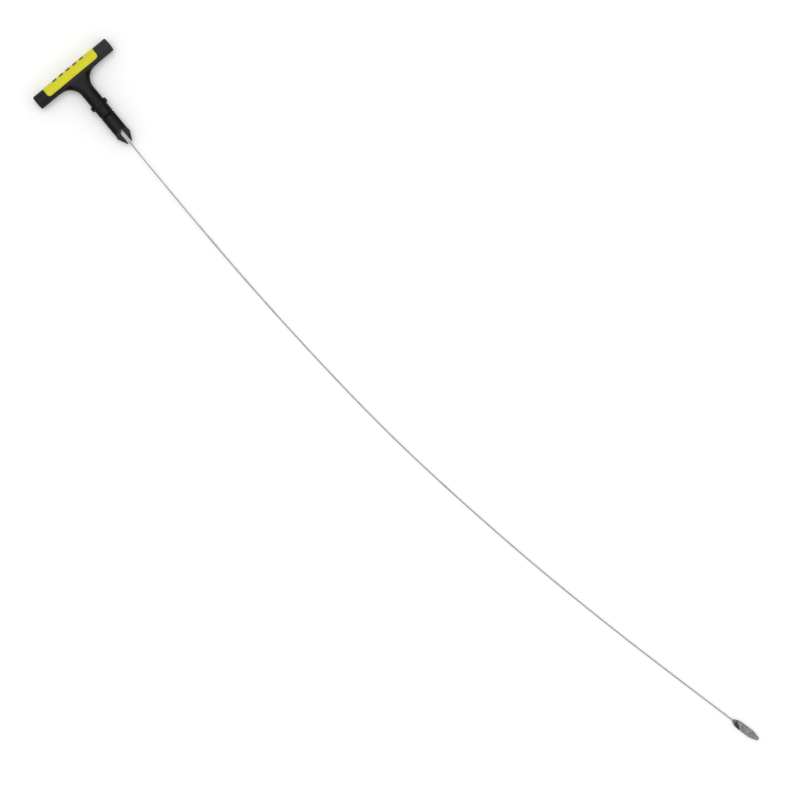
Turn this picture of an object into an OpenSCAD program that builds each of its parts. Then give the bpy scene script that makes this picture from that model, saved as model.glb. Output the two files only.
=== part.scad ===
// Engine oil dipstick with a T-handle, lying on a flat surface.
// Millimetres, +Z up. The origin is on the plug's axis at the face of the collar
// that seats on the dipstick tube. +X runs along the plug towards the blade and
// +Y runs along the grip bar.

/* [Grip bar] */
// Length of the grip bar across the T
bar_length = 65.7; // [50:0.1:85]
// Diameter of the grip bar
bar_d = 10.4; // [9:0.1:13]
// Radius of the rounded edge at each end of the bar
bar_edge_r = 0.6; // [0.4:0.1:1.2]
// How far the middle of each end bulges beyond its edge
bar_crown = 0.4; // [0.1:0.1:1]
// Distance from the bar's axis to the collar's seating face
bar_to_seat = 30.1; // [27:0.1:42]
// Diameter of the round neck between the bar and the collar
neck_d = 10.3; // [9.6:0.1:12.4]
// Radius of the concave blend between the bar and the neck
neck_blend_r = 10.4; // [6:0.2:11]
// Thickness of the web that fills the two blends
web_t = 7; // [4:0.5:8]

/* [Panel] */
// Length of the coloured panel along the bar
panel_length = 44.8; // [36:0.1:48]
// How far the panel's middle is from the bar's middle
panel_shift = -1.1; // [-1.5:0.1:1.5]
// How far the panel stands above the bar's surface
panel_proud = 0.2; // [0.1:0.05:0.6]
// How deep the panel is let into the bar
panel_depth = 0.8; // [0.5:0.1:1.2]
// How far the panel reaches past the bar's axis, towards the plug
panel_reach = 2.6; // [0.5:0.1:3]
// Radius of the panel's lower corners
panel_corner_r = 2.8; // [1:0.1:3]

/* [Marks] */
// Number of plain bars set into the panel's crest
mark_count = 5; // [2:1:6]
// Length of one bar, measured along the grip
mark_length = 3.4; // [2:0.2:4.6]
// Spacing of the bars from one to the next
mark_pitch = 6; // [5.2:0.2:6.8]
// Width of a bar across the crest
mark_width = 7.4; // [3:0.2:7.8]
// How far a bar stands above the panel
mark_proud = 0.1; // [0.05:0.05:0.4]
// How deep a bar is let into the panel
mark_depth = 0.5; // [0.3:0.05:0.6]

/* [Plug] */
// Diameter of the plug that goes into the tube
plug_d = 10.2; // [9.6:0.1:12]
// Diameter of the collar that seats on the tube
collar_d = 13.2; // [12.9:0.1:16]
// Thickness of the collar
collar_t = 3.7; // [2.4:0.1:5]
// Radius of the collar's rounded rim
collar_edge_r = 0.9; // [0.4:0.1:1.1]
// Length of the plain land between the collar and the seal groove
land_length = 6.3; // [4:0.1:8]
// Width of the seal groove
groove_w = 2.7; // [2.3:0.1:3.5]
// Depth of the seal groove
groove_depth = 1.3; // [1:0.1:1.6]
// How much thinner the plug is past the groove than at the land, on each side
barrel_relief = 0.05; // [0.02:0.01:0.2]
// How far the seal ring's lip stands above the plug, on each side
seal_proud = 0.2; // [0.1:0.05:0.3]
// Radius of the rounded lip
seal_lip_r = 0.6; // [0.4:0.05:0.7]
// Distance from the seating face to the start of the pointed nose
nose_start = 25.5; // [23:0.5:29]
// Length of the pointed nose
nose_length = 6.5; // [5.5:0.1:9]
// Diameter at the end of the nose
nose_tip_d = 4.1; // [4:0.1:6]
// How far the nose's shoulder is splayed beyond the plug, on each side
nose_splay = 0.25; // [0:0.05:0.3]
// Distance over which the plug widens to the shoulder
splay_length = 5.6; // [2:0.2:7]
// Depth of the nose's slot, measured from the end of the nose on its long side
slot_depth = 10.8; // [8:0.2:11]
// How much shorter the slot is on its other side
slot_slant = 2.4; // [0:0.1:2.8]

/* [Anchor] */
// Width and height of the square metal sleeve that is pressed on the cable
sleeve_w = 3; // [2.4:0.1:3.2]
// Radius of the sleeve's long edges
sleeve_edge_r = 0.5; // [0.3:0.1:0.8]
// Length of the sleeve
sleeve_length = 21; // [17:0.5:23]
// Diameter of the sleeve's head, which the moulding traps
head_d = 4.6; // [4:0.1:6]
// Thickness of the sleeve's head
head_t = 1.5; // [1:0.1:2]
// How far the sleeve stands out of the nose, below 0 where it ends inside
sleeve_proud = -0.4; // [-0.8:0.1:1]

/* [Cable and blade] */
// Diameter of the stranded cable
cable_d = 1; // [0.8:0.05:1.2]
// Width of the level blade
blade_w = 5.4; // [4.6:0.1:7]
// Length of the level blade, crimp included
blade_length = 22.3; // [18:0.1:30]
// Thickness of the level blade
blade_t = 1; // [0.6:0.05:1]
// Thickness of the crimp over the blade's root
crimp_t = 1.8; // [1.7:0.05:2.2]
// Length of the crimp on its short side
crimp_length = 3; // [2.8:0.1:4.2]
// How much longer the crimp is on its other side
crimp_slant = 4.2; // [0:0.1:4.4]
// Distance from the blade's root to the first level line
level_line_x = 7.6; // [7.6:0.1:10]
// Distance between the two level lines
level_span = 3.5; // [3:0.1:7]

/* [Hidden] */
$fn = 64;

// Gap between a moulding and what is moulded into it, on each side
moulded_gap = 0.02;
// Gap between the slot's walls and the sleeve that lies in it, on each side
slot_gap = 0.05;
// Gap between the cable and the holes that it is crimped in, on each side
cable_gap = 0.03;
// Extra length of a cut past the face that it starts from
past = 1;

// The bar and its panel
bar_r = bar_d / 2;
neck_r = neck_d / 2;
panel_outer_r = bar_r + panel_proud;
panel_inner_r = bar_r - panel_depth;
mark_outer_r = panel_outer_r + mark_proud;
mark_inner_r = panel_outer_r - mark_depth;

// The plug
plug_r = plug_d / 2;
barrel_r = plug_r - barrel_relief;
collar_r = collar_d / 2;
groove_r = plug_r - groove_depth;
groove_end = land_length + groove_w;
nose_end = nose_start + nose_length;
slot_w = sleeve_w + 2 * slot_gap;

// The sleeve
sleeve_end = nose_end + sleeve_proud;
sleeve_start = sleeve_end - sleeve_length;
sleeve_bore_r = cable_d / 2 + cable_gap;

// The crimp and the blade
crimp_bore_depth = 2;
crimp_neck_w = crimp_t;
blade_root_x = crimp_bore_depth + 0.3;
// Width of the outline at the end of its steep stretch
blade_neck_w = 4.7;
blade_neck_x = 3.2;
blade_shoulder_x = 6.2;
blade_taper_length = 6.2;
blade_tip_r = 1.3;
level_line_w = 0.4;
level_line_depth = 0.15;

// The cable's rest height is the surface that the collar lies on, plus its radius.
// The route's points are chosen by hand: it leaves the sleeve straight, comes down
// to the surface and then lies in one long, shallow bend to the blade.
free_route = [
    [46, -0.2, 0],
    [62, -0.2, -0.3],
    [82, -0.2, -1.1],
    [110, 0, -3],
    [140, 0.4, -5],
    [170, 1.2, -6],
    [200, 2.4, -6.1],
    [240, 4.6, -6.1],
    [280, 7.5, -6.1],
    [320, 11.5, -6.1],
    [360, 16.7, -6.1],
    [400, 22.8, -6.1],
    [440, 29.6, -6.1],
    [480, 37.3, -6.1],
    [520, 45.7, -6.1],
    [560, 54.8, -6.1],
    [590, 61.8, -6.1],
    [612, 67, -5.7]
];
rest_z = -6.1;
blade_angle = 13.5;
cable_sides = 8;
rings_per_stretch = 4;

blade_at = free_route[len(free_route) - 1];
cable_hold = crimp_bore_depth - 0.1;
route = concat(
    [[sleeve_start + 0.5, 0, 0], [sleeve_end, 0, 0]],
    free_route,
    [blade_at + cable_hold * [cos(blade_angle), sin(blade_angle), 0]]
);

// Points of an arc, from one angle to another
function arc(centre, r, from, to, steps = 8) = [
    for (i = [0:steps])
        let (a = from + (to - from) * i / steps)
            centre + r * [cos(a), sin(a)]
];

// Slope of the route at a point, per unit of X, from the points on each side of it
function route_slope(i) =
    let (before = route[max(i - 1, 0)], after = route[min(i + 1, len(route) - 1)])
        (after - before) / (after.x - before.x);

// A point on the smooth curve through the route, u from 0 to 1 between two points
function route_point(i, u) =
    let (
        a = route[i],
        b = route[i + 1],
        run = b.x - a.x,
        p = (2 * u ^ 3 - 3 * u ^ 2 + 1) * a
            + (u ^ 3 - 2 * u ^ 2 + u) * run * route_slope(i)
            + (3 * u ^ 2 - 2 * u ^ 3) * b
            + (u ^ 3 - u ^ 2) * run * route_slope(i + 1)
    )
        [p.x, p.y, max(p.z, rest_z)];

cable_line = concat(
    [for (i = [0:len(route) - 2]) for (k = [0:rings_per_stretch - 1])
        route_point(i, k / rings_per_stretch)],
    [route[len(route) - 1]]
);

function unit(v) = v / norm(v);

// Direction of the cable at ring i
function heading(i) =
    unit(cable_line[min(i + 1, len(cable_line) - 1)] - cable_line[max(i - 1, 0)]);

// One ring of points round the cable
function ring(i) =
    let (
        along = heading(i),
        side = unit(cross([0, 0, 1], along)),
        over = cross(along, side)
    )
        [for (k = [0:cable_sides - 1])
            let (a = 360 * (k + 0.5) / cable_sides)
                cable_line[i] + cable_d / 2 * (cos(a) * side + sin(a) * over)];

// Turns a shape made round Z so that it runs along X
module along_x() {
    rotate([0, 90, 0]) children();
}

// Places a shape made round Z on the bar's axis
module along_bar() {
    translate([-bar_to_seat, 0, 0]) rotate([90, 0, 0]) children();
}

// Ring of material round the bar's axis, between two radii
module bar_ring(inner_r, outer_r, length) {
    along_bar() difference() {
        cylinder(r = outer_r, h = length, center = true);
        cylinder(r = inner_r, h = length + 2 * past, center = true);
    }
}

module bar() {
    half = bar_length / 2;
    side = bar_r - bar_edge_r;
    end = half - bar_crown - bar_edge_r;
    dome_r = (side ^ 2 + bar_crown ^ 2) / (2 * bar_crown);
    dome_angle = asin(side / dome_r);
    along_bar() rotate_extrude() polygon(concat(
        arc([0, dome_r - half], dome_r, -90, dome_angle - 90, 4),
        arc([side, -end], bar_edge_r, -75, 0),
        arc([side, end], bar_edge_r, 0, 75),
        arc([0, half - dome_r], dome_r, 90 - dome_angle, 90, 4)
    ));
}

// Flat web with the two concave blends, in the plane of the T
module web() {
    blend_x = -bar_to_seat + bar_r + neck_blend_r;
    blend_y = neck_r + neck_blend_r;
    translate([0, 0, -web_t / 2]) linear_extrude(web_t) difference() {
        translate([-bar_to_seat, -blend_y]) square([bar_r + neck_blend_r, 2 * blend_y]);
        for (side = [-1, 1]) translate([blend_x, side * blend_y]) circle(neck_blend_r);
    }
}

// Neck, collar, plug and pointed nose, turned in one piece
module stem() {
    rim = collar_r - collar_edge_r;
    along_x() rotate_extrude() polygon(concat(
        [[0, -bar_to_seat], [neck_r, -bar_to_seat], [neck_r, -collar_t]],
        arc([rim, collar_edge_r - collar_t], collar_edge_r, -90, 0),
        arc([rim, -collar_edge_r], collar_edge_r, 0, 90),
        [
            [plug_r, 0],
            [plug_r, land_length],
            [groove_r, land_length],
            [groove_r, groove_end],
            [barrel_r, groove_end],
            [barrel_r, nose_start - splay_length],
            [plug_r + nose_splay, nose_start],
            [nose_tip_d / 2, nose_end],
            [0, nose_end]
        ]
    ));
}

// Plan of the panel, which covers the bar's crest and ends in two round corners
module panel_plan(gap) {
    half = panel_length / 2 + gap;
    edge = panel_reach + gap;
    r = panel_corner_r + gap;
    top = bar_r + past;
    translate([-bar_to_seat, panel_shift]) {
        translate([-top, -half]) square([top + edge - r, 2 * half]);
        translate([-top, r - half]) square([top + edge, 2 * (half - r)]);
        for (side = [-1, 1]) translate([edge - r, side * (half - r)]) circle(r);
    }
}

// The panel's solid, with gap added all round where it makes the recess
module panel_shape(outer_r, gap) {
    intersection() {
        bar_ring(panel_inner_r - gap, outer_r, bar_length);
        translate([0, 0, -bar_d]) linear_extrude(2 * bar_d) panel_plan(gap);
    }
}

// The row of plain bars, with gap added all round where it makes the pockets
module mark_row(inner_r, outer_r, gap) {
    first = panel_shift - mark_pitch * (mark_count - 1) / 2;
    intersection() {
        bar_ring(inner_r, outer_r, bar_length);
        for (i = [0:mark_count - 1])
            translate([
                -bar_to_seat - 2 * bar_d,
                first + i * mark_pitch - mark_length / 2 - gap,
                -mark_width / 2 - gap
            ])
                cube([2 * bar_d, mark_length + 2 * gap, mark_width + 2 * gap]);
    }
}

// Square with rounded corners, the sleeve's section
module sleeve_section(gap) {
    half = sleeve_w / 2 + gap;
    r = sleeve_edge_r + gap;
    square([2 * half, 2 * (half - r)], center = true);
    square([2 * (half - r), 2 * half], center = true);
    for (x = [-1, 1]) for (y = [-1, 1]) translate([x, y] * (half - r)) circle(r);
}

// The sleeve's outline, or with a gap the cavity that holds it
module sleeve_shape(gap) {
    translate([sleeve_start - gap, 0, 0])
        along_x() cylinder(d = head_d + 2 * gap, h = head_t + 2 * gap);
    translate([sleeve_start, 0, 0])
        along_x() linear_extrude(sleeve_length) sleeve_section(gap);
}

// Slot through the nose, with a slanted blind end
module nose_slot() {
    long_side = nose_end - slot_depth;
    short_side = long_side + slot_slant;
    translate([0, 0, -plug_d]) linear_extrude(2 * plug_d) polygon([
        [long_side, slot_w / 2],
        [short_side, -slot_w / 2],
        [nose_end + past, -slot_w / 2],
        [nose_end + past, slot_w / 2]
    ]);
}

module handle() {
    color([0.13, 0.13, 0.14]) difference() {
        union() {
            bar();
            web();
            stem();
        }
        panel_shape(bar_r + past, moulded_gap);
        sleeve_shape(moulded_gap);
        nose_slot();
    }
}

module grip_panel() {
    color([0.86, 0.84, 0.2]) difference() {
        panel_shape(panel_outer_r, 0);
        mark_row(mark_inner_r - moulded_gap, mark_outer_r, moulded_gap);
    }
}

module panel_marks() {
    color([0.12, 0.12, 0.12]) mark_row(mark_inner_r, mark_outer_r, 0);
}

// Flat rubber band that fills the groove, with a raised lip near its far side
module seal_ring() {
    start = land_length + moulded_gap;
    end = groove_end - moulded_gap;
    inner_r = groove_r + moulded_gap;
    lip = [plug_r + seal_proud - seal_lip_r, end - seal_lip_r - 0.2];
    flank_r = lip.x + seal_lip_r * cos(70);
    color([0.05, 0.05, 0.05]) along_x() rotate_extrude() polygon(concat(
        [[inner_r, start], [flank_r, start]],
        arc(lip, seal_lip_r, -70, 70),
        [[flank_r - 0.05, end], [inner_r, end]]
    ));
}

module anchor_sleeve() {
    color([0.72, 0.73, 0.74]) difference() {
        sleeve_shape(0);
        translate([sleeve_start - past, 0, 0])
            along_x() cylinder(r = sleeve_bore_r, h = sleeve_length + 2 * past);
    }
}

module cable() {
    rings = len(cable_line);
    color([0.66, 0.67, 0.68]) polyhedron(
        points = [for (i = [0:rings - 1]) each ring(i)],
        faces = concat(
            [[for (k = [0:cable_sides - 1]) k]],
            [for (i = [0:rings - 2]) for (k = [0:cable_sides - 1])
                let (
                    a = i * cable_sides + k,
                    b = i * cable_sides + (k + 1) % cable_sides
                )
                    [a, a + cable_sides, b + cable_sides, b]],
            [[for (k = [cable_sides - 1:-1:0]) (rings - 1) * cable_sides + k]]
        )
    );
}

// Puts a shape drawn along X at the end of the cable, in line with it
module at_blade() {
    translate(blade_at) rotate([0, 0, blade_angle]) children();
}

// Plan of the crimp and the blade together, from the cable to the rounded tip
module blade_plan() {
    half = blade_w / 2;
    start = crimp_neck_w / 2;
    neck = min(blade_neck_w / 2, half);
    taper_x = blade_length - blade_taper_length;
    tip = [blade_length - blade_tip_r, 0];
    polygon(concat(
        [[0, -start], [blade_neck_x, -neck], [blade_shoulder_x, -half], [taper_x, -half]],
        arc(tip, blade_tip_r, -75, 75, 10),
        [[taper_x, half], [blade_shoulder_x, half], [blade_neck_x, neck], [0, start]]
    ));
}

module tip_crimp() {
    reach = blade_w;
    color([0.26, 0.26, 0.27]) at_blade() difference() {
        translate([0, 0, -crimp_t / 2]) linear_extrude(crimp_t) intersection() {
            blade_plan();
            polygon([
                [-past, -reach / 2],
                [crimp_length + crimp_slant, -reach / 2],
                [crimp_length, reach / 2],
                [-past, reach / 2]
            ]);
        }
        translate([blade_root_x - moulded_gap, -reach, -blade_t / 2 - moulded_gap])
            cube([blade_length, 2 * reach, blade_t + 2 * moulded_gap]);
        translate([-past, 0, 0])
            along_x() cylinder(r = sleeve_bore_r, h = crimp_bore_depth + past);
    }
}

module blade() {
    color([0.5, 0.5, 0.5]) at_blade() difference() {
        translate([0, 0, -blade_t / 2]) linear_extrude(blade_t) intersection() {
            blade_plan();
            translate([blade_root_x, -blade_w]) square([blade_length, 2 * blade_w]);
        }
        for (x = [level_line_x, level_line_x + level_span])
            for (face = [-1, 1])
                translate([x, 0, face * (blade_t / 2 - level_line_depth / 2 + past / 2)])
                    cube([level_line_w, 2 * blade_w, level_line_depth + past], center = true);
    }
}

handle();
grip_panel();
panel_marks();
seal_ring();
anchor_sleeve();
cable();
tip_crimp();
blade();
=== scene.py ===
import math

import bmesh
import bpy
import numpy as np
from mathutils import Matrix, Vector


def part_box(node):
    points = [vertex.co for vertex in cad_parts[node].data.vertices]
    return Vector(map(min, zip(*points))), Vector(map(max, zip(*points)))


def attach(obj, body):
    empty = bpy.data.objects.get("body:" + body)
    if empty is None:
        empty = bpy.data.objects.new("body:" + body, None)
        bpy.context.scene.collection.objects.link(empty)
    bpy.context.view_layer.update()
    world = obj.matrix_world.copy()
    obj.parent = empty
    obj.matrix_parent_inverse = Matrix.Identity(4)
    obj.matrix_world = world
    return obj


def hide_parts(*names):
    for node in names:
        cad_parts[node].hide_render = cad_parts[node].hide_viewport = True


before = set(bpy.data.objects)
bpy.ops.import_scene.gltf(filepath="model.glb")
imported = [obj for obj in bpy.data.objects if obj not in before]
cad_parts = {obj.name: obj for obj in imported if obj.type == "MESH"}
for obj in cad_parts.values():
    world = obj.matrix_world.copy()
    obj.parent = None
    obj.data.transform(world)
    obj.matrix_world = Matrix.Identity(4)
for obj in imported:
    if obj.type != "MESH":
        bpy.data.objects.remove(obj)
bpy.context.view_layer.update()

# Shapes are built in millimetres and brought to metres when a piece is finished.
mm = 0.001


def boxInMm(node):
    low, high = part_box(node)
    return np.array(low) / mm, np.array(high) / mm


handleLow, handleHigh = boxInMm("handle")
sleeveLow, sleeveHigh = boxInMm("anchor_sleeve")
sealLow, sealHigh = boxInMm("seal_ring")
panelLow, panelHigh = boxInMm("grip_panel")
marksLow = boxInMm("panel_marks")[0]
surfaceZ = handleLow[2]  # the dipstick lies on its collar


def addObject(name, data):
    made = bpy.data.objects.new(name, data)
    bpy.context.collection.objects.link(made)
    return made


cameraSet = {
    "lens": 200.0,  # long lens, so the view is nearly parallel
    "sensor": 36.0,
    "width": 0.5587,  # what the view covers at the origin's height, in metres
    "turn": 50.39,  # degrees the camera is turned about the vertical
    "aim": (0.2909, 0.0305),
}


def addCamera():
    s = cameraSet
    data = bpy.data.cameras.new("camera")
    data.lens = s["lens"]
    data.sensor_width = s["sensor"]
    away = s["width"] * s["lens"] / s["sensor"]
    data.clip_start = away * 0.1
    data.clip_end = away * 4
    camera = addObject("camera", data)
    camera.location = (*s["aim"], away)
    camera.rotation_euler = (0, 0, math.radians(s["turn"]))
    bpy.context.scene.camera = camera


addCamera()
print("camera set")


def newMaterial(name, color, roughness, metallic=0.0, specular=None):
    mat = bpy.data.materials.new(name)
    mat.use_nodes = True
    shader = mat.node_tree.nodes["Principled BSDF"]
    shader.inputs["Base Color"].default_value = (*color, 1)
    shader.inputs["Roughness"].default_value = roughness
    shader.inputs["Metallic"].default_value = metallic
    if specular is not None:
        shader.inputs["Specular IOR Level"].default_value = specular
    mat.diffuse_color = (*color, 1)
    return mat


def dress(mat, color, roughness=None, normal=None):
    # links what the nodes work out to the shader
    shader = mat.node_tree.nodes["Principled BSDF"]
    for name, value in (("Base Color", color), ("Roughness", roughness), ("Normal", normal)):
        if value is not None:
            mat.node_tree.links.new(value, shader.inputs[name])
    return mat


def addNode(owner, kind, inputs=None, **settings):
    # the owner is a material or a node tree
    tree = getattr(owner, "node_tree", owner)
    made = tree.nodes.new(kind)
    for key, value in settings.items():
        setattr(made, key, value)
    for key, value in (inputs or {}).items():
        if isinstance(value, bpy.types.NodeSocket):
            tree.links.new(value, made.inputs[key])
        else:
            made.inputs[key].default_value = value
    return made


def mathNode(owner, operation, a, b=0.0):
    return addNode(owner, "ShaderNodeMath", {0: a, 1: b}, operation=operation).outputs[0]


def objectSpace(mat, stretch=None):
    where = addNode(mat, "ShaderNodeTexCoord").outputs["Object"]
    if stretch is None:
        return where
    return addNode(mat, "ShaderNodeMapping", {"Vector": where, "Scale": stretch}).outputs[0]


def noise(mat, where, scale, detail=3.0, rough=0.5):
    inputs = {"Vector": where, "Scale": scale, "Detail": detail, "Roughness": rough}
    return addNode(mat, "ShaderNodeTexNoise", inputs).outputs["Fac"]


def remap(mat, value, fromLow, fromHigh, toLow, toHigh):
    given = {"From Min": fromLow, "From Max": fromHigh, "To Min": toLow, "To Max": toHigh}
    return addNode(mat, "ShaderNodeMapRange", {"Value": value, **given}).outputs["Result"]


def spread(mat, value, low, high):
    # most of a noise lies between 0.3 and 0.7
    return remap(mat, value, 0.3, 0.7, low, high)


def mixColor(mat, share, a, b):
    a, b = [c if isinstance(c, bpy.types.NodeSocket) else (*c, 1) for c in (a, b)]
    inputs = {"Factor": share, 6: a, 7: b}  # 6 and 7 are the two colour inputs
    return addNode(mat, "ShaderNodeMix", inputs, data_type="RGBA").outputs[2]


def bump(mat, height, distance, strength, below=None):
    inputs = {"Height": height, "Distance": distance, "Strength": strength}
    if below is not None:
        inputs["Normal"] = below
    return addNode(mat, "ShaderNodeBump", inputs).outputs["Normal"]


def grain(mat, where, scale, distance, strength=0.5, detail=2):
    return bump(mat, noise(mat, where, scale, detail), distance, strength)


def attribute(mat, name):
    return addNode(mat, "ShaderNodeAttribute", attribute_name=name).outputs["Fac"]


def tint(mat, color, look, *names):
    # a colour of the look where the stored value of the same name is 1
    for name in names:
        color = mixColor(mat, attribute(mat, name), color, look[name])
    return color


# In the looks below, a pair of colours is mixed by a noise, and lengths are in metres.
nylonLook = {
    # the crest tones are a painted highlight along the top, the flank colour is painted shade on the
    # sides
    "crest": ((0.012, 0.012, 0.0122), (0.017, 0.017, 0.0172)),
    "flank": (0.0012, 0.0012, 0.0014),
    "highlightX": (-0.024, -0.013),  # the crest's painted highlight strip narrows between these
    "highlightHalf": (0.0052, 0.0016),
    "highlightFade": 0.0022,
    "worn": (0.07, 0.07, 0.071),
    # lighter mottled band on the nose: rub wear together with a painted highlight
    "scuffAndSheen": (0.055, 0.053, 0.049),
    "scuffAndSheenStart": (0.0208, 0.0228),
    "scuffAndSheenEnd": (0.0262, 0.0285),
    # painted sheen on the bar, lighter towards its +Y end
    "paintedBarSheen": (0.034, 0.034, 0.034),
    "paintedBarSheenX": (-0.0262, -0.0245),
    "paintedBarSheenY": (-0.035, 0.035),
    "scratched": (0.09, 0.09, 0.09),
    "roughness": (0.38, 0.52),
    "specular": 0.07,
    "partingHalf": 0.00012,  # the mould's parting line, half its width
    "partingHeight": 0.00005,
}


def blackNylon():
    s = nylonLook
    mat = newMaterial("blackNylon", (0.022, 0.022, 0.024), 0.42, specular=s["specular"])
    where = objectSpace(mat)
    cloud = noise(mat, where, 90, 4)
    parts = addNode(mat, "ShaderNodeSeparateXYZ", {"Vector": where}).outputs
    # painted highlight and shade: the crest is coloured lighter in a strip that widens up the neck,
    # and the flanks are painted near black as shade
    half = remap(mat, parts["X"], *s["highlightX"], *s["highlightHalf"])
    faded = mathNode(mat, "ADD", half, s["highlightFade"])
    highlightShare = remap(mat, mathNode(mat, "ABSOLUTE", parts["Y"]), half, faded, 1.0, 0.0)
    color = mixColor(mat, highlightShare, s["flank"], mixColor(mat, cloud, *s["crest"]))
    wear = mathNode(mat, "MULTIPLY", attribute(mat, "wear"), noise(mat, where, 700, 3))
    color = mixColor(mat, wear, color, s["worn"])
    # the nose is rubbed by the tube's mouth, and is also painted lighter there as a highlight where
    # its flare catches the light
    started = remap(mat, parts["X"], *s["scuffAndSheenStart"], 0.0, 1.0)
    ended = remap(mat, parts["X"], *s["scuffAndSheenEnd"], 1.0, 0.0)
    scuffAndSheenShare = noise(mat, objectSpace(mat, (1, 1, 1.6)), 1700, 4, 0.6)
    scuffAndSheenShare = remap(mat, scuffAndSheenShare, 0.3, 0.75, 0.15, 0.85)
    jaws = mathNode(mat, "MULTIPLY", started, ended)
    color = mixColor(mat, mathNode(mat, "MULTIPLY", jaws, scuffAndSheenShare), color, s["scuffAndSheen"])
    # painted sheen: the bar is coloured lighter, more so towards its +Y end
    back = remap(mat, parts["X"], *s["paintedBarSheenX"], 1.0, 0.0)
    side = remap(mat, parts["Y"], *s["paintedBarSheenY"], 0.4, 0.9)
    color = mixColor(mat, mathNode(mat, "MULTIPLY", back, side), color, s["paintedBarSheen"])
    scratch = noise(mat, objectSpace(mat, (60, 900, 900)), 6, 2)
    scratch = remap(mat, scratch, 0.66, 0.78, 0.0, 0.22)
    color = mixColor(mat, scratch, color, s["scratched"])
    height = mathNode(mat, "ABSOLUTE", parts["Z"])
    parting = remap(mat, height, 0.0, s["partingHalf"], 1.0, 0.0)
    fine = grain(mat, where, 6500, 0.00002)
    normal = bump(mat, parting, s["partingHeight"], 0.6, fine)
    return dress(mat, color, spread(mat, cloud, *s["roughness"]), normal)


yellowLook = {
    "tones": ((0.56, 0.52, 0.010), (0.66, 0.62, 0.016)),
    "grimeAndShade": (0.33, 0.29, 0.03),  # grime and painted shade along the rim
    "roughness": (0.42, 0.56),
    "specular": 0.25,
}


def yellowMoulding():
    s = yellowLook
    mat = newMaterial("yellowMoulding", (0.72, 0.66, 0.035), 0.48, specular=s["specular"])
    where = objectSpace(mat)
    cloud = noise(mat, where, 160, 4)
    # grime with painted shade along the panel's rim, where it sits in its pocket
    grimeAndShade = mathNode(mat, "MULTIPLY", attribute(mat, "rim"), noise(mat, where, 420, 4))
    color = mixColor(mat, grimeAndShade, mixColor(mat, cloud, *s["tones"]), s["grimeAndShade"])
    pattern = {"Vector": where, "Scale": 2600}
    cells = addNode(mat, "ShaderNodeTexVoronoi", pattern, feature="F1").outputs["Distance"]
    texture = mathNode(mat, "ADD", cells, noise(mat, where, 7000, 2))
    rough = spread(mat, cloud, *s["roughness"])
    return dress(mat, color, rough, bump(mat, texture, 0.00003, 0.4))


inlayLook = {
    "tones": ((0.016, 0.016, 0.016), (0.036, 0.036, 0.035)),
    "rim": (0.075, 0.073, 0.06),
}


def blackInlay():
    s = inlayLook
    mat = newMaterial("blackInlay", (0.014, 0.014, 0.014), 0.5)
    where = objectSpace(mat)
    color = tint(mat, mixColor(mat, noise(mat, where, 500, 4), *s["tones"]), s, "rim")
    return dress(mat, color, normal=grain(mat, where, 8000, 0.00002))


rubberLook = {
    "tones": ((0.002, 0.002, 0.002), (0.006, 0.006, 0.006)),
    "roughness": (0.38, 0.58),
    "specular": 0.07,
}


def oiledRubber():
    s = rubberLook
    mat = newMaterial("oiledRubber", (0.008, 0.008, 0.008), 0.3, specular=s["specular"])
    where = objectSpace(mat)
    cloud = noise(mat, where, 900, 4)
    rough = spread(mat, cloud, *s["roughness"])
    color = mixColor(mat, cloud, *s["tones"])
    return dress(mat, color, rough, grain(mat, where, 9000, 0.00001))


platedLook = {
    "tones": ((0.38, 0.38, 0.39), (0.54, 0.54, 0.55)),
    "deep": (0.74, 0.74, 0.75),  # painted light that lifts the shade inside the slot
    "fold": (0.22, 0.22, 0.22),
    "roughness": (0.44, 0.62),
}


def platedSteel():
    s = platedLook
    mat = newMaterial("platedSteel", (0.46, 0.46, 0.47), 0.5, 0.5)
    lines = noise(mat, objectSpace(mat, (25, 1400, 1400)), 5, 3)
    color = mixColor(mat, noise(mat, objectSpace(mat), 1500, 4), *s["tones"])
    # painted light deeper in the slot, then the seam fold's tone
    color = tint(mat, color, s, "deep", "fold")
    rough = spread(mat, lines, *s["roughness"])
    return dress(mat, color, rough, bump(mat, lines, 0.00001, 0.5))


strandLook = {
    "tones": ((0.34, 0.34, 0.343), (0.54, 0.54, 0.545)),
    "oil": (0.25, 0.25, 0.248),
    "roughness": (0.28, 0.48),
}


def strandSteel():
    s = strandLook
    mat = newMaterial("strandSteel", (0.34, 0.34, 0.345), 0.36, 0.85)
    where = objectSpace(mat)
    tone = noise(mat, where, 260, 4)
    oil = remap(mat, noise(mat, where, 45, 3), 0.52, 0.7, 0.0, 0.5)
    color = mixColor(mat, oil, mixColor(mat, tone, *s["tones"]), s["oil"])
    rough = spread(mat, tone, *s["roughness"])
    return dress(mat, color, rough, grain(mat, where, 12000, 0.000006))


pressedLook = {
    "tones": ((0.115, 0.115, 0.113), (0.18, 0.18, 0.177)),
    # oil residue and painted shade at the crimp's mouth
    "oilAndShade": ((0.020, 0.020, 0.020), (0.045, 0.044, 0.042)),
    "rim": (0.24, 0.24, 0.235),
    "roughness": (0.42, 0.62),
    "specular": 0.25,
}


def pressedSteel():
    s = pressedLook
    mat = newMaterial("pressedSteel", (0.05, 0.05, 0.052), 0.5, 0.35, s["specular"])
    where = objectSpace(mat)
    tone = noise(mat, where, 800, 5)
    color = mixColor(mat, tone, *s["tones"])
    # darker oblique band at the crimp's mouth: oil residue with painted shade
    oilAndShade = mixColor(mat, tone, *s["oilAndShade"])
    color = mixColor(mat, attribute(mat, "oilAndShade"), color, oilAndShade)
    color = tint(mat, color, s, "rim")
    rough = spread(mat, tone, *s["roughness"])
    return dress(mat, color, rough, grain(mat, where, 6000, 0.00001, 0.6, 3))


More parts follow.
